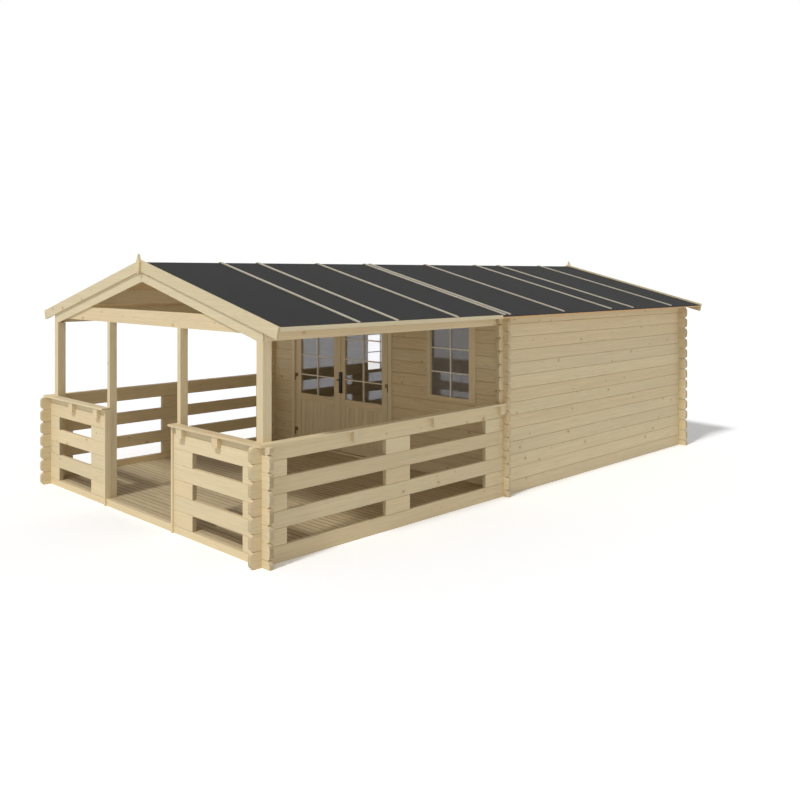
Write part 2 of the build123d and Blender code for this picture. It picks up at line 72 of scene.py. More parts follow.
# ---- shader maths
class Signal:
    """A socket that carries one number. Python's arithmetic on it adds Math nodes."""

    def __init__(self, sheet: "NodeSheet", socket: Socket) -> None:
        """Wraps a socket.

        Args:
            sheet: the sheet that the socket belongs to.
            socket: the output socket to wrap.
        """
        self.sheet = sheet
        self.socket = socket

    def __add__(self, other: Term) -> "Signal":
        """Adds."""
        return self.sheet.math("ADD", self, other)

    __radd__ = __add__

    def __sub__(self, other: Term) -> "Signal":
        """Takes other away."""
        return self.sheet.math("SUBTRACT", self, other)

    def __rsub__(self, other: Term) -> "Signal":
        """Takes this away from other."""
        return self.sheet.math("SUBTRACT", other, self)

    def __mul__(self, other: Term) -> "Signal":
        """Multiplies."""
        return self.sheet.math("MULTIPLY", self, other)

    def __truediv__(self, other: Term) -> "Signal":
        """Divides by other."""
        return self.sheet.math("DIVIDE", self, other)

    def __pow__(self, other: Term) -> "Signal":
        """Raises to a power."""
        return self.sheet.math("POWER", self, other)

    def __abs__(self) -> "Signal":
        """Gives the size without its sign."""
        return self.sheet.math("ABSOLUTE", self)

    def floor(self) -> "Signal":
        """Rounds down."""
        return self.sheet.math("FLOOR", self)

    def sine(self) -> "Signal":
        """Gives the sine."""
        return self.sheet.math("SINE", self)

    def over(self, edge: Term) -> "Signal":
        """Gives 1 where this is above an edge, and 0 elsewhere."""
        return self.sheet.math("GREATER_THAN", self, edge)

    def rise(self, low: Term, high: Term) -> "Signal":
        """Rises smoothly from 0 at low to 1 at high.

        Args:
            low: where the rise starts.
            high: where it ends.

        Returns:
            The eased value.
        """
        node = self.sheet.add(
            "ShaderNodeMapRange",
            {"interpolation_type": "SMOOTHSTEP"},
            {"Value": self, "From Min": low, "From Max": high},
        )
        return Signal(self.sheet, node.outputs["Result"])


class NodeSheet:
    """A node tree under construction: nodes and links are added through it."""

    def __init__(self, owner: "bpy.types.Material | bpy.types.World") -> None:
        """Empties the owner's tree.

        Args:
            owner: the material or world that the tree belongs to.
        """
        owner.use_nodes = True
        self.tree = owner.node_tree
        self.tree.nodes.clear()
        self.place = self.add("ShaderNodeTexCoord", {}, {})

    def add(self, kind: str, settings: dict, inputs: dict) -> bpy.types.Node:
        """Adds a node.

        Args:
            kind: the node's type.
            settings: properties, set before any input.
            inputs: values, signals or sockets, by input name or number.

        Returns:
            The new node.
        """
        node = self.tree.nodes.new(kind)
        for name, value in settings.items():
            setattr(node, name, value)
        for name, value in inputs.items():
            if isinstance(value, Signal):
                self.tree.links.new(value.socket, node.inputs[name])
            elif isinstance(value, Socket):
                self.tree.links.new(value, node.inputs[name])
            else:
                node.inputs[name].default_value = value
        return node

    def math(self, operation: str, *terms: Term) -> Signal:
        """Adds a Math node on one, two or three terms."""
        node = self.add("ShaderNodeMath", {"operation": operation}, dict(enumerate(terms)))
        return Signal(self, node.outputs[0])

    def parts(self, vector: Socket) -> list[Signal]:
        """Splits a vector into its three numbers."""
        node = self.add("ShaderNodeSeparateXYZ", {}, {0: vector})
        return [Signal(self, socket) for socket in node.outputs]

    def vector(self, x: Term, y: Term, z: Term) -> Socket:
        """Joins three numbers into a vector."""
        return self.add("ShaderNodeCombineXYZ", {}, {0: x, 1: y, 2: z}).outputs[0]

    def noise(self, where: Socket, detail: float, rough: float = 0.5) -> Signal:
        """Gives cloudy noise around 0.5 at unit scale.

        Args:
            where: coordinates, already scaled.
            detail: how many finer layers are added.
            rough: how strong each finer layer is.

        Returns:
            The noise.
        """
        inputs = {"Vector": where, "Scale": 1.0, "Detail": detail, "Roughness": rough}
        return Signal(self, self.add("ShaderNodeTexNoise", {}, inputs).outputs["Fac"])

    def mix(
        self,
        share: Term,
        first: "Socket | Colour",
        second: "Socket | Colour",
        how: str = "MIX",
    ) -> Socket:
        """Blends two colours.

        Args:
            share: how much of the second shows.
            first: the first colour.
            second: the second colour.
            how: the Mix node's blend type.

        Returns:
            The blended colour.
        """
        colours = [c if isinstance(c, Socket) else (*c, 1.0) for c in (first, second)]
        settings = {"data_type": "RGBA", "blend_type": how, "clamp_factor": True}
        node = self.add("ShaderNodeMix", settings, {0: share, 6: colours[0], 7: colours[1]})
        return node.outputs[2]

    def grey(self, level: Signal) -> Socket:
        """Turns a number into a grey colour."""
        return self.add("ShaderNodeCombineColor", {}, {0: level, 1: level, 2: level}).outputs[0]

    def bump(self, height: Signal, depth: float) -> Socket:
        """Turns a height from 0 to 1 into a bumped normal, depth metres deep."""
        inputs = {"Strength": 1.0, "Distance": depth, "Height": height}
        return self.add("ShaderNodeBump", {}, inputs).outputs[0]

    def seen(self) -> Signal:
        """Gives 1 on rays that the camera sees straight, in a mirror or through glass."""
        rays = self.add("ShaderNodeLightPath", {}, {}).outputs
        camera, glossy, through = (
            Signal(self, rays[f"Is {kind} Ray"]) for kind in ("Camera", "Glossy", "Transmission")
        )
        return self.math("MAXIMUM", self.math("MAXIMUM", camera, glossy), through)


class FinishSheet(NodeSheet):
    """A material under construction, which ends in a Principled shader."""

    def __init__(self, name: str) -> None:
        """Starts an empty material.

        Args:
            name: the material's name.
        """
        self.material = bpy.data.materials.new(name)
        super().__init__(self.material)

    def close(self, **inputs: object) -> bpy.types.Material:
        """Ends the material in a Principled shader.

        Args:
            inputs: the shader's inputs, with _ for a space in their names.

        Returns:
            The finished material.
        """
        named = {name.replace("_", " "): value for name, value in inputs.items()}
        shader = self.add("ShaderNodeBsdfPrincipled", {}, named)
        self.add("ShaderNodeOutputMaterial", {}, {"Surface": shader.outputs[0]})
        return self.material


# ---- finishes
@dataclass(frozen=True)
class Timber:
    """Planed spruce: boards or logs side by side, each with its own tone, grain and knots.

    Attributes:
        name: the material's name.
        run: which way the grain runs.
        seed: sets this piece's grain apart from the others'.
        cells: the size of one board along x, y and z, or 0 where boards aren't split.
        starts: where a board starts along x, y and z.
        wide: the axis across a board's wide face, which the knots lie in.
        pale: the usual colour.
        warm: the colour of the warmer boards.
        knots: the share of places that have a knot.
        contrast: how strongly the grain shows.
        joint: how far a joint between two boards darkens each of them, or 0 for none.
        joint_tone: how dark the joints are.
        end_tone: the colour that the sawn ends turn towards.
        knot_scale: how many places for a knot there are in each metre.
        knot_halo: the colour of the wood round a knot.
        knot_core: the colour of a knot.
        knot_rim: the colour of the ring round a knot.
        joint_shade: the colour that a joint turns towards.
    """

    name: str
    run: Run
    seed: float
    cells: tuple[float, float, float] = (0.0, 0.0, 0.0)
    starts: tuple[float, float, float] = (0.0, 0.0, 0.0)
    wide: int = 2
    pale: Colour = (0.752, 0.638, 0.416)
    warm: Colour = (0.735, 0.592, 0.368)
    knots: float = 0.2
    contrast: float = 1.0
    joint: float = 0.0
    joint_tone: float = 0.6
    end_tone: Colour = (0.56, 0.45, 0.275)
    knot_scale: ClassVar[float] = 5.2
    knot_halo: ClassVar[Colour] = (0.62, 0.43, 0.215)
    knot_core: ClassVar[Colour] = (0.36, 0.20, 0.085)
    knot_rim: ClassVar[Colour] = (0.20, 0.105, 0.045)
    joint_shade: ClassVar[Colour] = (0.23, 0.15, 0.075)

    def make(self) -> bpy.types.Material:
        """Builds the material."""
        sheet = FinishSheet(self.name)
        spots = sheet.parts(sheet.place.outputs["Object"])
        chance, shade, hue = self.lot(sheet, spots)
        shift = [chance * 31.0, shade * 17.0, hue * 23.0]
        u = spots[self.run.value]
        a, b = [spots[axis] for axis in range(3) if axis != self.run.value]
        face = spots[self.wide] if self.wide != self.run.value else a
        knot, rim, halo, dark = self.knotting(sheet, u, face, shift)

        stretched = sheet.vector(u * 0.45 + shift[0], a * 7.0 + shift[1], b * 7.0 + shift[2])
        body = sheet.noise(stretched, 1.5, 0.45) + halo * 0.05
        fibres = sheet.noise(sheet.vector(u * 11.0 + shift[1], a * 240.0, b * 240.0), 2.0, 0.6)
        streaks = sheet.noise(sheet.vector(u * 1.1 + shift[2], a * 46.0, b * 46.0), 3.0, 0.65)
        rings = (body * 120.0 + fibres * 1.2).sine() * 0.5 + 0.5
        patches = sheet.noise(sheet.vector(u * 1.6 + shift[1], a * 4.0, b * 4.0), 2.0, 0.5)
        end = abs(sheet.parts(sheet.place.outputs["Normal"])[self.run.value]).rise(0.6, 0.92)

        tint = sheet.mix(hue.rise(0.1, 0.95) * 0.75 + (patches - 0.5) * 0.7, self.pale, self.warm)
        late = (rings**2.5) * 0.09 * self.contrast + (0.5 - streaks) * 0.50 * self.contrast
        level = 1.0 + (shade - 0.5) * 0.09 - late * 0.55 + (fibres - 0.5) * 0.10 * self.contrast
        colour = sheet.mix(1.0, tint, sheet.grey(level), "MULTIPLY")
        colour = sheet.mix(halo * 0.35, colour, self.knot_halo)
        colour = sheet.mix(end * 0.6, colour, self.end_tone)
        colour = sheet.mix(knot * (0.35 + dark * 0.35), colour, self.knot_core)
        colour = sheet.mix(rim * 0.38, colour, self.knot_rim)
        if self.joint:
            where = sheet.vector(u * 2.2 + shift[2], a * 9.0, b * 9.0)
            broken = sheet.noise(where, 2.0, 0.6).rise(0.30, 0.62)
            seam = self.seam(sheet, spots) * (broken * 0.75 + 0.25) * self.joint_tone
            colour = sheet.mix(seam, colour, self.joint_shade)
        relief = fibres * 0.5 + (1.0 - rings) * 0.3 + (1.0 - knot) * 0.2
        return sheet.close(
            Base_Color=colour,
            Roughness=0.66 - rings * 0.08 - knot * 0.12,
            Specular_IOR_Level=0.3,
            Normal=sheet.bump(relief, 0.0006),
        )

    def lot(self, sheet: FinishSheet, spots: Sequence[Signal]) -> list[Signal]:
        """Draws three numbers from 0 to 1 for the board that a place is on.

        Args:
            sheet: the material's sheet.
            spots: the place's coordinates.

        Returns:
            The board's chance, shade and hue.
        """
        cells: list[Signal | float] = []
        for spot, cell, start in zip(spots, self.cells, self.starts):
            cells.append(((spot - start) / cell).floor() if cell else 0.0)
        number = sheet.vector(*[cell + self.seed * step for cell, step in zip(cells, (1.7, 2.3, 3.1))])
        drawn = sheet.add("ShaderNodeTexWhiteNoise", {"noise_dimensions": "3D"}, {"Vector": number})
        return sheet.parts(drawn.outputs["Color"])

    def knotting(
        self, sheet: FinishSheet, along: Signal, face: Signal, shift: Sequence[Signal]
    ) -> tuple[Signal, Signal, Signal, Signal]:
        """Scatters knots over the wide face.

        Args:
            sheet: the material's sheet.
            along: the coordinate that the grain runs along.
            face: the coordinate across the wide face.
            shift: what moves each board's knots away from the others'.

        Returns:
            How much of the knot, its rim and its halo shows, and how dark it is.
        """
        scale = self.knot_scale
        spot = sheet.vector(along * (scale * 0.8) + shift[0], face * scale + shift[1], 0.0)
        inputs = {"Vector": spot, "Scale": 1.0}
        cellular = sheet.add("ShaderNodeTexVoronoi", {"voronoi_dimensions": "2D"}, inputs)
        away = Signal(sheet, cellular.outputs["Distance"]) / scale
        has, size, dark = sheet.parts(cellular.outputs["Color"])
        here = 1.0 - has.over(self.knots)
        radius = 0.004 + size * 0.009
        knot = (1.0 - away.rise(radius * 0.75, radius * 1.1)) * here
        rim = (1.0 - (abs(away - radius)).rise(0.0, 0.0035)) * here
        halo = (1.0 - away.rise(0.0, radius * 4.5)) * here
        return knot, rim, halo, dark

    def seam(self, sheet: FinishSheet, spots: Sequence[Signal]) -> Signal:
        """Finds how near a place is to a joint between two boards.

        Args:
            sheet: the material's sheet.
            spots: the place's coordinates.

        Returns:
            1 in a joint, falling to 0 at the joint's width away from it.
        """
        line: Signal | float = 0.0
        for axis, (spot, cell, start) in enumerate(zip(spots, self.cells, self.starts)):
            if axis != self.run.value and cell:
                row = (spot - start) / cell
                away = abs(row - (row + 0.5).floor()) * cell
                line = sheet.math("MAXIMUM", line, 1.0 - away.rise(self.joint * 0.35, self.joint))
        return line


@dataclass(frozen=True)
class RoofingFelt:
    """Bitumen felt with fine slate granules, a little uneven from sheet to sheet."""

    name: str
    base: Colour = (0.0155, 0.0152, 0.0154)
    dust: Colour = (0.033, 0.0325, 0.0325)

    def make(self) -> bpy.types.Material:
        """Builds the material."""
        sheet = FinishSheet(self.name)
        x, y, z = sheet.parts(sheet.place.outputs["Object"])
        cell = sheet.add(
            "ShaderNodeTexVoronoi",
            {"feature": "F1"},
            {"Vector": sheet.vector(x * 420.0, y * 420.0, z * 420.0), "Scale": 1.0},
        )
        grain = Signal(sheet, cell.outputs["Distance"])
        lot = sheet.parts(cell.outputs["Color"])[0]
        cloud = sheet.noise(sheet.vector(x * 1.3, y * 2.2, z * 1.3), 3.0, 0.55)
        mottle = sheet.noise(sheet.vector(x * 26.0, y * 26.0, z * 26.0), 3.0, 0.6)
        share = lot.rise(0.72, 1.0) * 0.55 + (cloud - 0.45) * 0.5 + (mottle - 0.5) * 0.45
        return sheet.close(
            Base_Color=sheet.mix(share, self.base, self.dust),
            Roughness=0.86 + (mottle - 0.5) * 0.16,
            Specular_IOR_Level=0.25,
            Normal=sheet.bump((1.0 - grain) * 0.6 + mottle * 0.4, 0.0011),
        )


@dataclass(frozen=True)
class Glazing:
    """Window glass that mirrors a little of what is round it, more at a slant, with faint smears.

    Attributes:
        name: the material's name.
        mirror: how much it mirrors when seen square on.
        metallic: how metallic the mirror is.
        tint: the mirror's colour.
        clear_past: panes on the far side of this x are almost clear.
    """

    name: str
    mirror: float = 0.12
    metallic: float = 1.0
    tint: Colour = (0.80, 0.80, 0.81)
    clear_past: float = -9.0

    def make(self) -> bpy.types.Material:
        """Builds the material."""
        sheet = FinishSheet(self.name)
        x, y, z = sheet.parts(sheet.place.outputs["Object"])
        smear = sheet.noise(sheet.vector(x * 3.0, y * 3.0, z * 5.0), 3.0, 0.55)
        slant = Signal(sheet, sheet.add("ShaderNodeLayerWeight", {}, {"Blend": 0.12}).outputs["Fresnel"])
        hazy = x.over(self.clear_past) * 0.9 + 0.1
        return sheet.close(
            Base_Color=(*self.tint, 1.0),
            Metallic=self.metallic,
            Roughness=0.015 + smear * 0.03,
            Alpha=(self.mirror + slant * 0.3 + (smear - 0.5) * 0.03) * hazy,
        )


@dataclass(frozen=True)
class Ironwork:
    """Coated steel: a slightly mottled coat with soft wear."""

    name: str
    coat: Colour
    worn: Colour
    metallic: float
    roughness: float

    def make(self) -> bpy.types.Material:
        """Builds the material."""
        sheet = FinishSheet(self.name)
        x, y, z = sheet.parts(sheet.place.outputs["Object"])
        blotch = sheet.noise(sheet.vector(x * 45.0, y * 45.0, z * 45.0), 3.0, 0.6)
        pores = sheet.noise(sheet.vector(x * 900.0, y * 900.0, z * 900.0), 1.0, 0.5)
        return sheet.close(
            Base_Color=sheet.mix(blotch.rise(0.45, 0.8), self.coat, self.worn),
            Metallic=self.metallic,
            Roughness=self.roughness + (blotch - 0.5) * 0.2,
            Normal=sheet.bump(pores, 0.00015),
        )


# ---- mesh helpers
class Workshop:
    """Cuts pieces with bmesh and hands them to the frame."""

    def __init__(self) -> None:
        """Starts with nothing on the bench."""
        self.made: list[str] = []

    @staticmethod
    def board(mesh: Mesh, low: Sequence[float], high: Sequence[float], edge: float = EDGE) -> None:
        """Adds a board with softened edges to a mesh.

        Args:
            mesh: the mesh to add to.
            low: the board's lowest corner.
            high: its highest corner.
            edge: how wide the softened edges are.
        """
        size = Vector(high) - Vector(low)
        middle = (Vector(high) + Vector(low)) / 2
        matrix = Matrix.Translation(middle) @ Matrix.Diagonal((*size, 1.0))
        verts = bmesh.ops.create_cube(mesh, size=1.0, matrix=matrix)["verts"]
        edges = list(dict.fromkeys(e for v in verts for e in v.link_edges))
        bmesh.ops.bevel(
            mesh, geom=edges, offset=edge, affect="EDGES", segments=1, profile=0.5, material=-1,
            clamp_overlap=True,
        )

    @staticmethod
    def round_bar(mesh: Mesh, start: Vector, end: Vector, radius: float, edge: float = 0.0) -> None:
        """Adds a round bar with closed ends to a mesh.

        Args:
            mesh: the mesh to add to.
            start: the middle of one end.
            end: the middle of the other.
            radius: the bar's radius.
            edge: how much the rims are rounded.
        """
        way = end - start
        turn = way.to_track_quat("Z", "Y").to_matrix().to_4x4()
        matrix = Matrix.Translation((start + end) / 2) @ turn
        made = bmesh.ops.create_cone(
            mesh, cap_ends=True, segments=24, radius1=radius, radius2=radius, depth=way.length,
            matrix=matrix,
        )
        if edge:
            caps = dict.fromkeys(f for v in made["verts"] for f in v.link_faces if len(f.verts) > 4)
            rims = list(dict.fromkeys(e for f in caps for e in f.edges))
            bmesh.ops.bevel(
                mesh, geom=rims, offset=edge, affect="EDGES", segments=3, profile=0.5, material=-1
            )

    def finish(
        self, name: str, mesh: Mesh, material: bpy.types.Material, body: str, slot: str,
        replaces: Sequence[str] = (), smooth: bool = False,
    ) -> bpy.types.Object:
        """Turns a mesh into a piece of the cabin.

        Args:
            name: the piece's name.
            mesh: its mesh, which is used up.
            material: its finish.
            body: the body that it moves with.
            slot: the record's material slot; not used.
            replaces: the CAD nodes that it stands for.
            smooth: whether faces are shaded smooth.

        Returns:
            The new object.
        """
        data = bpy.data.meshes.new(name)
        if smooth:
            for face in mesh.faces:
                face.smooth = len(face.verts) == 4
        mesh.to_mesh(data)
        mesh.free()
        data.materials.append(material)
        piece = bpy.data.objects.new(name, data)
        bpy.context.scene.collection.objects.link(piece)
        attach(piece, body)
        if replaces:
            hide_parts(*replaces)
        self.made.append(name)
        LOG.info("%s: %d faces on %s", name, len(data.polygons), body)
        return piece


def dress(node: str, material: bpy.types.Material) -> None:
    """Gives a CAD node a new finish.

    Args:
        node: the node's name.
        material: the finish, put in every slot of its object.
    """
    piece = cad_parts[node]
    if not piece.material_slots:
        piece.data.materials.append(material)
    for place in piece.material_slots:
        place.material = material
    LOG.info("%s: dressed with %s", node, material.name)


# ---- sub-assemblies
@dataclass
class LogWork:
    """The log walls and the veranda's log railings, which keep their CAD shapes.

    Attributes:
        joint: how far a joint between two courses darkens each of them.
        wall_break: how far the tones of the front wall's logs change left of the middle.
        rail_ends: the colour of the front railing's sawn ends.
        side_ends: that of the side railings and side walls.
        wall_ends: that of the front wall.
        rear_end_grain_and_shade: that of the gable and the rear wall: end grain, darkened further as
            painted shade for the shade on these log ends.
        gap_end_grain_and_shade: that of the short blocks, beside the gaps: end grain, darkened much further
            as painted shade for the shade inside the gaps.
        front_wall_painted_shade_tones: the colours of the front wall, darker than the other walls' as
            painted shade for the shade under the veranda roof.
        sheltered_contrast: how strongly its grain shows.
    """

    joint: float = 0.0055
    wall_break: float = 0.645
    rail_ends: Colour = (0.44, 0.345, 0.225)
    side_ends: Colour = (0.45, 0.36, 0.21)
    wall_ends: Colour = (0.60, 0.48, 0.30)
    # painted shade: the gable's and rear wall's log ends are darkened past end grain, standing for the
    # shade on the rear corner's tips
    rear_end_grain_and_shade: Colour = (0.32, 0.24, 0.15)
    # painted shade: the ends of the blocks beside the railing's gaps are darkened far past end grain,
    # standing for the shade in the gaps
    gap_end_grain_and_shade: Colour = (0.22, 0.16, 0.09)
    # painted shade: the front wall gets darker tones than the other walls, standing for the shade under the
    # veranda roof
    front_wall_painted_shade_tones: dict[str, Colour] = field(
        default_factory=lambda: {"pale": (0.705, 0.590, 0.375), "warm": (0.690, 0.550, 0.335)}
    )
    sheltered_contrast: float = 1.6

    def dress(self) -> None:
        """Dresses every node, with the grain along each log and a tone for each."""
        cells = (UNSPLIT, 0.0, COURSE)
        start = (-UNSPLIT, 0.0, -HALF_COURSE)
        # the blocks beside the gaps get end grain with painted shade on their ends
        front = {"sill_front": self.rail_ends, "rails_front": self.rail_ends, "blocks_front": self.gap_end_grain_and_shade}
        for seed, (node, ends) in enumerate(front.items()):
            dress(node, Timber(
                f"log_{node}", Run.ACROSS, seed + 1.0, cells, start,
                joint=self.joint, joint_tone=0.14, end_tone=ends,
            ).make())
        # the front wall's darker tones are painted shade
        dress("wall_front_sides", Timber(
            "log_wall_front_sides", Run.ACROSS, 4.0, cells, (-UNSPLIT - self.wall_break, 0.0, -HALF_COURSE),
            contrast=self.sheltered_contrast, joint=self.joint, joint_tone=0.3, end_tone=self.wall_ends,
            **self.front_wall_painted_shade_tones,
        ).make())
        rows = (0.0, 0.0, COURSE), (0.0, 0.0, -HALF_COURSE)
        for seed, node in enumerate(("gable_front", "wall_rear")):
            # the gable and rear wall get end grain with painted shade on their log ends
            dress(node, Timber(
                f"log_{node}", Run.ACROSS, seed + 7.0, *rows,
                joint=self.joint, joint_tone=0.4, end_tone=self.rear_end_grain_and_shade,
            ).make())
        for seed, node in enumerate(("rails_sides", "blocks_sides", "wall_right", "wall_left")):
            dress(node, Timber(
                f"log_{node}", Run.ALONG, seed + 11.0, cells, (-UNSPLIT, 0.0, 0.0),
                joint=self.joint, joint_tone=0.31, end_tone=self.side_ends,
            ).make())


@dataclass
class Carpentry:
    """Posts, beams and purlins, which keep their CAD shapes."""

    # painted light: beams and purlins get paler tones than the posts, brightening them against the shade
    # under the eaves and roof
    painted_light_tones: dict[str, Colour] = field(
        default_factory=lambda: {"pale": (0.80, 0.69, 0.46), "warm": (0.79, 0.67, 0.44)}
    )

    def dress(self) -> None:
        """Dresses each node with its grain along its length."""
        cells, starts = (UNSPLIT, 0.0, 0.0), (-UNSPLIT, 0.0, 0.0)
        for seed, node in enumerate(("corner_posts", "inner_posts", "end_boards")):
            dress(node, Timber(
                f"post_{node}", Run.UPRIGHT, seed + 20.0, cells, starts, wide=0, knots=0.26,
            ).make())
        # the beams and purlins take the paler tones of painted light
        for seed, node in enumerate(("eave_beams", "side_purlins", "ridge_purlin")):
            dress(node, Timber(f"beam_{node}", Run.ALONG, seed + 25.0, cells, starts, **self.painted_light_tones).make())
        dress("tie_beam", Timber("beam_tie_beam", Run.ACROSS, 30.0, knots=0.3).make())


@dataclass
class Trim:
    """Bargeboards, eave strips, finials, railing caps and brackets, which keep their CAD shapes.

    Attributes:
        bay: how far apart brackets are that differ in tone.
        batten_bay: the same for the battens.
        far: splits the front trim from the rear trim.
        calm: the colours of the trim along the roof's edges.
        weathered: those of the battens.
    """

    bay: float = 0.5
    batten_bay: float = 0.09
    far: float = 5.0
    calm: dict[str, Colour] = field(
        default_factory=lambda: {"pale": (0.715, 0.620, 0.418), "warm": (0.700, 0.595, 0.388)}
    )
    weathered: dict[str, Colour] = field(
        default_factory=lambda: {"pale": (0.60, 0.555, 0.455), "warm": (0.55, 0.50, 0.40)}
    )

    def dress(self) -> None:
        """Dresses each node."""
        lots = (UNSPLIT, self.far, 0.0), (-UNSPLIT, -self.far, 0.0)
        for seed, node in enumerate(("bargeboards", "under_bargeboards")):
            dress(node, Timber(f"trim_{node}", Run.ACROSS, seed + 31.0, *lots, **self.calm).make())
        dress("finials", Timber("trim_finials", Run.UPRIGHT, 34.0, *lots, wide=0, knots=0.0).make())
        dress("eave_strips", Timber("trim_eave_strips", Run.ALONG, 36.0, *lots, **self.calm).make())
        dress("caps_sides", Timber("trim_caps_sides", Run.ALONG, 37.0, *lots, wide=0).make())
        dress("cap_front", Timber("trim_cap_front", Run.ACROSS, 38.0, *lots, wide=1).make())
        bays = (self.bay, self.bay, 0.0)
        dress("cap_brackets", Timber(
            "trim_cap_brackets", Run.UPRIGHT, 39.0, bays, wide=0, knots=0.1,
        ).make())
        dress("roof_battens", Timber(
            "trim_roof_battens", Run.ACROSS, 40.0, (UNSPLIT, self.batten_bay, 0.0), lots[1], wide=1,
            knots=0.1, **self.weathered,
        ).make())


@dataclass
class RoofDeck:
    """Tongue-and-groove roof boards that run down each slope, in place of the two CAD slabs.

    Attributes:
        pitch: how wide a board is, about.
        gap: how far apart two boards are.
        bevel: how wide the V's sides are along the underside.
        thick: how thick a board is.
        slope: how much the roof falls for each metre.
        ridge_gap: how far the boards stop short of the ridge's middle.
        colour: the boards' usual colour.
        warm: the colour of the warmer boards.
        ends: the colour of the sawn ends.
        felt_off: how far the turned-down felt stands off the board ends.
        felt_out: how far its outer face does.
        felt_drop: how far it hangs below the roof felt.
        felt_lap: how far it reaches up over the roof felt's edge.
        felt_edge: how wide its softened edges are.
    """

    pitch: float = 0.096
    gap: float = 0.0008
    bevel: float = 0.003
    thick: float = 0.019
    slope: float = 0.253
    ridge_gap: float = 0.0005
    colour: Colour = (0.74, 0.545, 0.305)
    warm: Colour = (0.70, 0.49, 0.26)
    ends: Colour = (0.86, 0.50, 0.23)
    felt_off: float = 0.0002
    felt_out: float = 0.003
    felt_drop: float = 0.004
    felt_lap: float = 0.0025
    felt_edge: float = 0.0008

    def build(self, shop: Workshop) -> None:
        """Cuts the boards of both slopes.

        Args:
            shop: the workshop that finishes the pieces.
        """
        for seed, (node, side) in enumerate((("roof_boards_left", -1), ("roof_boards_right", 1))):
            low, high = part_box(node)
            mesh = bmesh.new()
            reach = high.x - low.x
            count = round((high.y - low.y) / self.pitch)
            pitch = (high.y - low.y) / count
            for k in range(count):
                start = low.y + k * pitch + (self.gap if k else 0.0)
                self.board(mesh, start, low.y + (k + 1) * pitch, reach, side, low.z)
            finish = Timber(
                f"roof_{node}", Run.ACROSS, seed + 41.0, (0.0, pitch, 0.0), (0.0, low.y, 0.0), wide=1,
                pale=self.colour, warm=self.warm, knots=0.3, end_tone=self.ends,
            ).make()
            shop.finish(f"{node}_planks", mesh, finish, "cabin", "roof_timber", replaces=[node])

    def turn_down(self, shop: Workshop, felt: bpy.types.Material) -> None:
        """Turns the felt down over the board ends along both eaves of the cabin.

        Args:
            shop: the workshop that finishes the piece.
            felt: the felt's finish.
        """
        low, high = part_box("roof_felt")
        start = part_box("eave_strips")[1].y + 0.001
        mesh = bmesh.new()
        for edge, way in ((low.x, -1), (high.x, 1)):
            near, far = sorted((edge + way * self.felt_off, edge + way * self.felt_out))
            bottom, top = low.z - self.felt_drop, low.z + self.felt_lap
            shop.board(mesh, (near, start, bottom), (far, high.y, top), self.felt_edge)
        shop.finish("felt_edges", mesh, felt, "cabin", "roofing_felt")

    def board(
        self, mesh: Mesh, start: float, end: float, reach: float, side: int, eave_low: float
    ) -> None:
        """Cuts one board, with a V along the underside of both long edges.

        Args:
            mesh: the mesh to add to.
            start: where the board starts along the building.
            end: where it ends.
            reach: how far it goes from the ridge to the eave, on the level.
            side: -1 for the left slope, 1 for the right.
            eave_low: the height of its underside at the eave.
        """
        upright = self.thick * math.hypot(1.0, self.slope)
        verts = bmesh.ops.create_cube(mesh, size=1.0)["verts"]
        middle = (start + end) / 2
        for v in verts:
            x = side * (reach if v.co.x * side > 0 else self.ridge_gap)
            z = eave_low + self.slope * (reach - abs(x)) + (upright if v.co.z > 0 else 0.0)
            v.co = (x, middle + v.co.y * (end - start), z)
        under = [
            e for e in dict.fromkeys(e for v in verts for e in v.link_edges)
            if abs(e.verts[0].co.y - e.verts[1].co.y) < EDGE / 10
            and all(v.co.z < eave_low + self.slope * (reach - abs(v.co.x)) + upright / 2 for v in e.verts)
        ]
        bmesh.ops.bevel(
            mesh, geom=under, offset=self.bevel, affect="EDGES", segments=1, profile=0.5, material=-1
        )


@dataclass
class Decking:
    """Floorboards laid across each room, in place of the two CAD slabs.

    Attributes:
        pitch: how wide a board is, about.
        gap: how far apart two boards are.
        first_gap: how far the first board is from the wall or sill.
        edge: how wide the softened edges are.
        joint: how far a joint darkens the boards beside it.
        joint_tone: how dark the joints are.
        pale: the boards' usual colour.
        warm: the colour of the warmer boards.
    """

    pitch: float = 0.071
    gap: float = 0.0015
    first_gap: float = 0.006
    edge: float = 0.003
    joint: float = 0.011
    joint_tone: float = 0.85
    pale: Colour = (0.56, 0.469, 0.307)
    warm: Colour = (0.506, 0.415, 0.259)

    def build(self, shop: Workshop) -> None:
        """Lays both floors.

        Args:
            shop: the workshop that finishes the pieces.
        """
        for seed, node in enumerate(("veranda_floor", "cabin_floor")):
            low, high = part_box(node)
            count = round((high.y - low.y) / self.pitch)
            pitch = (high.y - low.y) / count
            mesh = bmesh.new()
            for k in range(count):
                start = low.y + k * pitch
                back = self.gap if k else self.first_gap
                shop.board(mesh, (low.x, start + back, low.z), (high.x, start + pitch, high.z), self.edge)
            finish = Timber(
                f"floor_{node}", Run.ACROSS, seed + 51.0, (0.0, pitch, 0.0), (0.0, low.y, 0.0), wide=1,
                pale=self.pale, warm=self.warm, knots=0.22, contrast=1.8,
                joint=self.joint, joint_tone=self.joint_tone,
            ).make()
            shop.finish(f"{node}_boards", mesh, finish, "cabin", "floor_timber", replaces=[node])
        dress("floor_bearers", Timber("floor_floor_bearers", Run.ALONG, 55.0, (0.5, 4.0, 0.0)).make())


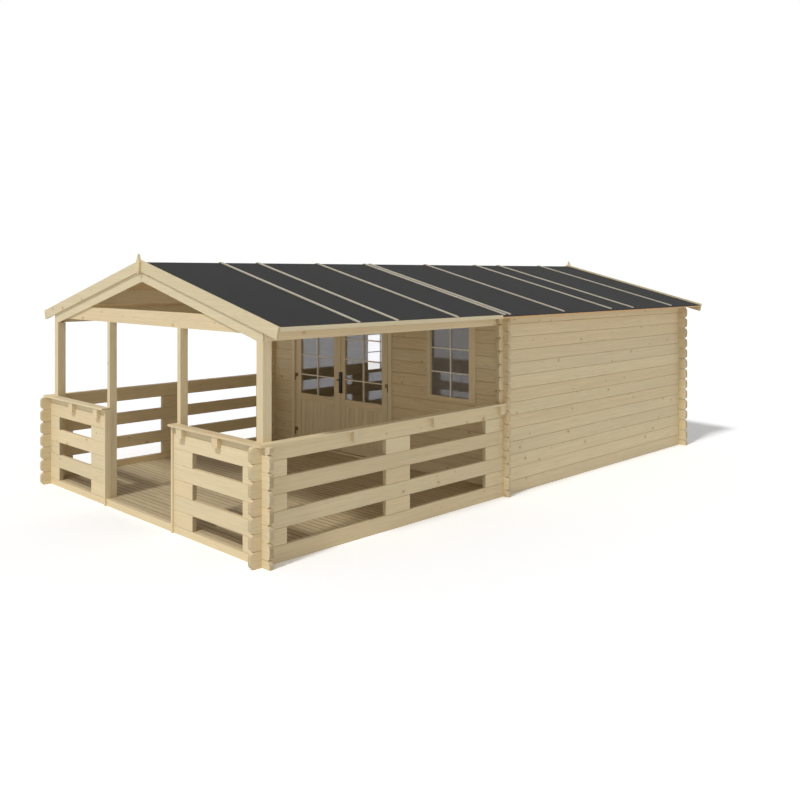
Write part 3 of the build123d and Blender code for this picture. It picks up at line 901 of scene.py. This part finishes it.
@dataclass
class DoorLeaf:
    """One leaf of the double door: framed joinery with a glazed light over a boarded panel.

    Attributes:
        side: left or right.
        seed: sets its grain apart.
        thick: how thick the leaf is.
        stile: how wide the uprights are.
        strip: how wide the meeting strip is, on the right leaf.
        lock_rail: how tall the rail below the glass is.
        foot_rail: how tall the rail at the foot is.
        inset: how far the rails lie behind the stiles' faces.
        recess: how far the panel lies behind them.
        joint: how far apart the panel's boards are.
        bars_up: the heights of the level bars.
        panel_boards: how many boards the panel has.
        bar_pale: the bars' usual colour.
        bar_warm: the colour of the warmer bars.
    """

    side: str
    seed: float
    thick: float = 0.040
    stile: float = 0.105
    strip: float = 0.024
    lock_rail: float = 0.090
    foot_rail: float = 0.120
    inset: float = 0.0004
    recess: float = 0.008
    joint: float = 0.0004
    bars_up: tuple[float, float, float] = (1.056, 1.323, 1.588)
    panel_boards: int = 8
    bar_pale: Colour = (0.88, 0.80, 0.68)
    bar_warm: Colour = (0.86, 0.77, 0.63)

    def build(self, shop: Workshop) -> None:
        """Cuts the leaf's joinery, bars and panel boards.

        Args:
            shop: the workshop that finishes the pieces.
        """
        node, name = f"door_leaf_{self.side}", f"door_{self.side}"
        owner = f"{self.side}_door", "planed_timber"
        glass_low, glass_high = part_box(f"door_glass_{self.side}")
        low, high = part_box(node)
        back = high.y
        front = back - self.thick
        x0, x1 = glass_low.x - self.stile, glass_high.x + self.stile
        lock_low = glass_low.z - self.lock_rail
        foot_top = low.z + self.foot_rail

        stiles = bmesh.new()
        shop.board(stiles, (x0, front, low.z), (glass_low.x, back, high.z))
        shop.board(stiles, (glass_high.x, front, low.z), (x1, back, high.z))
        if self.side == "right":
            shop.board(stiles, (x0, low.y, low.z), (x0 + self.strip, front, high.z))
        upright = Timber(f"{name}_stiles", Run.UPRIGHT, self.seed, wide=0, knots=0.12, contrast=1.5)
        shop.finish(f"{name}_stiles", stiles, upright.make(), *owner, replaces=[node])

        rails = bmesh.new()
        ahead, behind = front + self.inset, back - self.inset
        for bottom, top in ((low.z, foot_top), (lock_low, glass_low.z), (glass_high.z, high.z)):
            shop.board(rails, (glass_low.x, ahead, bottom), (glass_high.x, behind, top))
        level = Timber(
            f"{name}_rails", Run.ACROSS, self.seed + 0.4, (0.0, 0.0, 0.6), knots=0.1, contrast=1.5,
        )
        shop.finish(f"{name}_rails", rails, level.make(), *owner)

        panel = bmesh.new()
        width = (glass_high.x - glass_low.x) / self.panel_boards
        ahead, behind = front + self.recess, back - self.recess
        for k in range(self.panel_boards):
            start = glass_low.x + k * width
            shop.board(panel, (start + self.joint, ahead, foot_top), (start + width, behind, lock_low))
        boards = Timber(
            f"{name}_panel", Run.UPRIGHT, self.seed + 0.8, (width, 0.0, 0.0), (glass_low.x, 0.0, 0.0),
            wide=0, knots=0.12, contrast=1.7, joint=0.004, joint_tone=0.35,
        )
        shop.finish(f"{name}_panel", panel, boards.make(), *owner)

        bars = bmesh.new()
        glazing_bars(shop, bars, Run.ACROSS, (glass_low, glass_high), self.bars_up)
        pale = Timber(
            f"{name}_bars", Run.UPRIGHT, self.seed + 1.2, wide=0, knots=0.0,
            pale=self.bar_pale, warm=self.bar_warm,
        )
        shop.finish(f"{name}_bars", bars, pale.make(), *owner)
        dress(f"door_glass_{self.side}", Glazing(f"glass_door_{self.side}").make())


def glazing_bars(
    shop: Workshop, mesh: Mesh, run: Run, glass: tuple[Vector, Vector], levels: Iterable[float],
    width: float = 0.0135, depth: float = 0.012, step: float = 0.0005,
) -> None:
    """Lays an upright glazing bar and some level ones on both faces of a pane.

    Args:
        shop: the workshop.
        mesh: the mesh to add to.
        run: ACROSS for a pane in a wall across the building, ALONG for one in a side wall.
        glass: the pane's lowest and highest corners.
        levels: the heights of the level bars.
        width: how wide a bar is.
        depth: how far a bar stands off the glass.
        step: how far the level bars lie inside the upright one.
    """
    low, high = glass
    flat, thin = run.value, 1 - run.value
    middle, half = (low[flat] + high[flat]) / 2, width / 2
    spans = [((middle - half, middle + half), (low.z, high.z), 0.0)]
    spans += [((low[flat], high[flat]), (level - half, level + half), step) for level in levels]
    for face, way in ((low[thin], -1), (high[thin], 1)):
        near, far = sorted((face, face + way * depth))
        for flats, heights, inside in spans:
            corners = [[0.0, 0.0, height] for height in heights]
            for corner, along, out in zip(corners, flats, (near + inside, far - inside)):
                corner[flat], corner[thin] = along, out
            shop.board(mesh, *corners)


@dataclass
class Doorway:
    """The door's frame and cover boards, its hinges and its handle.

    Attributes:
        plate_half: half the plate's width.
        plate_thick: how thick the plate is.
        plate_edge: how wide its softened edges are.
        packing: where the packing behind the plate starts, from the leaf's edge, and where it
            ends, from the plate's middle.
        packing_edge: how wide its softened edges are.
        lever_up: the lever's height above the plate's foot.
        lever_out: how far the lever stands off the leaf.
        lever_reach: where the lever starts and ends, from the plate's middle.
        lever: the lever's radius, and how much its rims are rounded.
        stem: the same for the bar that carries it.
        stem_past: how far that bar ends past the lever's middle.
        collar: the length, radius and rounding of the collar round that bar.
        keyhole: the same for the keyhole's rose.
        keyhole_drop: how far the keyhole is below the lever.
        sunk: how far the round bars start inside the plate.
    """

    plate_half: float = 0.027
    plate_thick: float = 0.010
    plate_edge: float = 0.004
    packing: tuple[float, float] = (0.0242, 0.0268)
    packing_edge: float = 0.0005
    lever_up: float = 0.177
    lever_out: float = 0.056
    lever_reach: tuple[float, float] = (-0.008, 0.076)
    lever: tuple[float, float] = (0.0078, 0.003)
    stem: tuple[float, float] = (0.0075, 0.002)
    stem_past: float = 0.003
    collar: tuple[float, float, float] = (0.012, 0.014, 0.0015)
    keyhole: tuple[float, float, float] = (0.0105, 0.009, 0.001)
    keyhole_drop: float = 0.085
    sunk: float = 0.001

    def dress(self) -> None:
        """Dresses the frame, cover boards and hinges."""
        for seed, node in enumerate(("door_jambs", "door_covers")):
            dress(node, Timber(
                f"frame_{node}", Run.UPRIGHT, seed + 60.0, (1.0, 0.0, 0.0), wide=0, knots=0.1,
            ).make())
        for seed, node in enumerate(("door_head", "door_sill")):
            dress(node, Timber(f"frame_{node}", Run.ACROSS, seed + 64.0, knots=0.1).make())
        bronze = Ironwork(
            "bronzed_steel", (0.22, 0.135, 0.04), (0.33, 0.21, 0.08), metallic=0.7, roughness=0.42
        ).make()
        for node in ("hinge_pins", "hinge_straps_left", "hinge_straps_right"):
            dress(node, bronze)

    def handle(self, shop: Workshop) -> None:
        """Builds the handle set: a long plate, a lever and a keyhole on each face.

        Args:
            shop: the workshop that finishes the piece.
        """
        low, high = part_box("door_handle")
        leaf_low, leaf_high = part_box("door_leaf_right")
        x = low.x + self.plate_half
        lever_z = low.z + self.lever_up
        mesh = bmesh.new()
        shop.board(
            mesh, (leaf_low.x + self.packing[0], leaf_low.y, low.z + self.sunk),
            (x + self.packing[1], leaf_high.y - DoorLeaf.thick, high.z - self.sunk), self.packing_edge,
        )
        for way, face in ((-1, leaf_low.y), (1, leaf_high.y)):
            near, far = sorted((face, face + way * self.plate_thick))
            plate = (x - self.plate_half, near, low.z), (x + self.plate_half, far, high.z)
            shop.board(mesh, *plate, self.plate_edge)
            start, out = face + way * self.sunk, face + way * self.lever_out
            centre = Vector((x, start, lever_z))
            shop.round_bar(mesh, centre, Vector((x, out + way * self.stem_past, lever_z)), *self.stem)
            ends = [Vector((x + reach, out, lever_z)) for reach in self.lever_reach]
            shop.round_bar(mesh, *ends, *self.lever)
            for drop, (depth, *rim) in ((0.0, self.collar), (self.keyhole_drop, self.keyhole)):
                foot = Vector((x, start, lever_z - drop))
                shop.round_bar(mesh, foot, foot + Vector((0, way * depth, 0)), *rim)
        black = Ironwork(
            "black_steel", (0.017, 0.012, 0.008), (0.03, 0.022, 0.016), metallic=0.0, roughness=0.5
        ).make()
        shop.finish(
            "door_handle_set", mesh, black, "right_door", "black_metal", ["door_handle"], smooth=True
        )


@dataclass
class Windows:
    """Both windows: frames, panes and glazing bars.

    Attributes:
        wide: how wide a pane of glass is.
        tall: how tall it is.
        thick: how thick it is.
        rows: how many rows the level bars make.
    """

    wide: float = 0.594
    tall: float = 0.836
    thick: float = 0.008
    rows: int = 3

    def build(self, shop: Workshop) -> None:
        """Adds the bars and dresses frames and glass.

        Args:
            shop: the workshop that finishes the pieces.
        """
        dress("window_frames", Timber(
            "frame_window_frames", Run.UPRIGHT, 70.0, (0.37, 0.37, 0.0), wide=0, knots=0.08,
        ).make())
        dress("window_glass", Glazing(
            "glass_windows", mirror=0.40, metallic=0.35, tint=(0.40, 0.395, 0.40), clear_past=-1.5
        ).make())
        low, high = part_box("window_glass")
        front = Vector((high.x - self.wide, low.y, high.z - self.tall)), Vector(
            (high.x, low.y + self.thick, high.z)
        )
        left = Vector((low.x, high.y - self.wide, low.z)), Vector(
            (low.x + self.thick, high.y, low.z + self.tall)
        )
        pale = Timber(
            "window_bars", Run.UPRIGHT, 73.0, wide=0, knots=0.0,
            pale=(0.93, 0.87, 0.80), warm=(0.92, 0.85, 0.77),
        ).make()
        for name, run, pane in (("front", Run.ACROSS, front), ("left", Run.ALONG, left)):
            mesh = bmesh.new()
            levels = [pane[0].z + k * self.tall / self.rows for k in range(1, self.rows)]
            glazing_bars(shop, mesh, run, pane, levels)
            shop.finish(f"window_{name}_bars", mesh, pale, "cabin", "planed_timber")


@dataclass
class Studio:
    """A pale floor, soft light and the camera.

    Attributes:
        lens: the camera's focal length in millimetres.
        sensor: the width of its sensor in millimetres.
        eye: where it stands.
        heading: how far it is turned from +Y towards -X, in degrees.
        shift: how far the picture is moved up, as a share of its width.
        floor_half: half the floor's width.
        floor_grey: how much of the light the floor gives back to the cabin.
        floor_seen: the colour that the floor has for the camera.
        sky: the sky's colour.
        sky_low: how bright it is at the horizon.
        sky_high: how bright it is overhead.
        sun: the sun's colour.
        sun_strength: how bright the sun is.
        sun_way: the way to the sun.
        sun_spread: how wide the sun is, in degrees.
    """

    lens: float = 38.96
    sensor: float = 36.0
    eye: tuple[float, float, float] = (7.948, -8.0625, 2.448)
    heading: float = 44.726
    shift: float = -0.1585
    floor_half: float = 60.0
    floor_grey: float = 0.80
    floor_seen: Colour = (1.17, 1.20, 1.26)
    sky: Colour = (1.0, 0.99, 0.97)
    sky_low: float = 0.77
    sky_high: float = 0.29
    sun: Colour = (1.0, 0.98, 0.94)
    sun_strength: float = 1.72
    sun_way: tuple[float, float, float] = (0.10, -0.752, 1.0)
    sun_spread: float = 7.0

    def build(self) -> None:
        """Sets up the floor, light and camera."""
        scene = bpy.context.scene
        scene.view_settings.view_transform = "Standard"
        self.lay_floor()
        self.light()
        camera = bpy.data.cameras.new("camera")
        camera.lens, camera.sensor_width, camera.shift_y = self.lens, self.sensor, self.shift
        stand = bpy.data.objects.new("camera", camera)
        stand.location = self.eye
        stand.rotation_euler = (math.radians(90), 0.0, math.radians(self.heading))
        scene.collection.objects.link(stand)
        scene.camera = stand

    def lay_floor(self) -> None:
        """Lays a white floor that shows white in the light and keeps the cabin's shadow."""
        mesh = bmesh.new()
        bmesh.ops.create_grid(mesh, x_segments=1, y_segments=1, size=self.floor_half)
        data = bpy.data.meshes.new("studio_floor")
        mesh.to_mesh(data)
        mesh.free()
        sheet = FinishSheet("studio_floor")
        grey = (self.floor_grey, self.floor_grey, self.floor_grey, 1.0)
        diffuse = sheet.add("ShaderNodeBsdfDiffuse", {}, {"Color": grey})
        lifted = sheet.add("ShaderNodeBsdfDiffuse", {}, {"Color": (*self.floor_seen, 1.0)})
        choice = {0: sheet.seen(), 1: diffuse.outputs[0], 2: lifted.outputs[0]}
        both = sheet.add("ShaderNodeMixShader", {}, choice)
        sheet.add("ShaderNodeOutputMaterial", {}, {"Surface": both.outputs[0]})
        data.materials.append(sheet.material)
        floor = bpy.data.objects.new("studio_floor", data)
        bpy.context.scene.collection.objects.link(floor)

    def light(self) -> None:
        """Sets a sky that fades upwards, white where the camera sees it, and one soft sun."""
        world = bpy.data.worlds.new("studio")
        bpy.context.scene.world = world
        sheet = NodeSheet(world)
        height = sheet.parts(sheet.place.outputs["Generated"])[2]
        fade = {"Value": height, "To Min": self.sky_low, "To Max": self.sky_high}
        strength = sheet.add("ShaderNodeMapRange", {}, fade).outputs["Result"]
        sky = sheet.add("ShaderNodeBackground", {}, {"Color": (*self.sky, 1.0), "Strength": strength})
        white = sheet.add("ShaderNodeBackground", {}, {"Color": WHITE, "Strength": 1.0})
        choice = {0: sheet.seen(), 1: sky.outputs[0], 2: white.outputs[0]}
        both = sheet.add("ShaderNodeMixShader", {}, choice)
        sheet.add("ShaderNodeOutputWorld", {}, {"Surface": both.outputs[0]})
        lamp = bpy.data.lights.new("sun", "SUN")
        lamp.energy = self.sun_strength
        lamp.angle = math.radians(self.sun_spread)
        lamp.color = self.sun
        sun = bpy.data.objects.new("sun", lamp)
        sun.rotation_euler = Vector(self.sun_way).to_track_quat("Z", "Y").to_euler()
        bpy.context.scene.collection.objects.link(sun)


def main() -> None:
    """Builds and dresses the whole cabin, then sets up the studio."""
    shop = Workshop()
    LogWork().dress()
    Carpentry().dress()
    Trim().dress()
    felt = RoofingFelt("roofing_felt").make()
    dress("roof_felt", felt)
    deck = RoofDeck()
    deck.build(shop)
    deck.turn_down(shop, felt)
    Decking().build(shop)
    for seed, side in enumerate(("left", "right")):
        DoorLeaf(side, seed * 3.0 + 80.0).build(shop)
    doorway = Doorway()
    doorway.dress()
    doorway.handle(shop)
    Windows().build(shop)
    Studio().build()
    LOG.info("%d new pieces", len(shop.made))


if __name__ == "__main__":
    logging.basicConfig(level=logging.INFO, format="%(name)s: %(message)s")
    main()
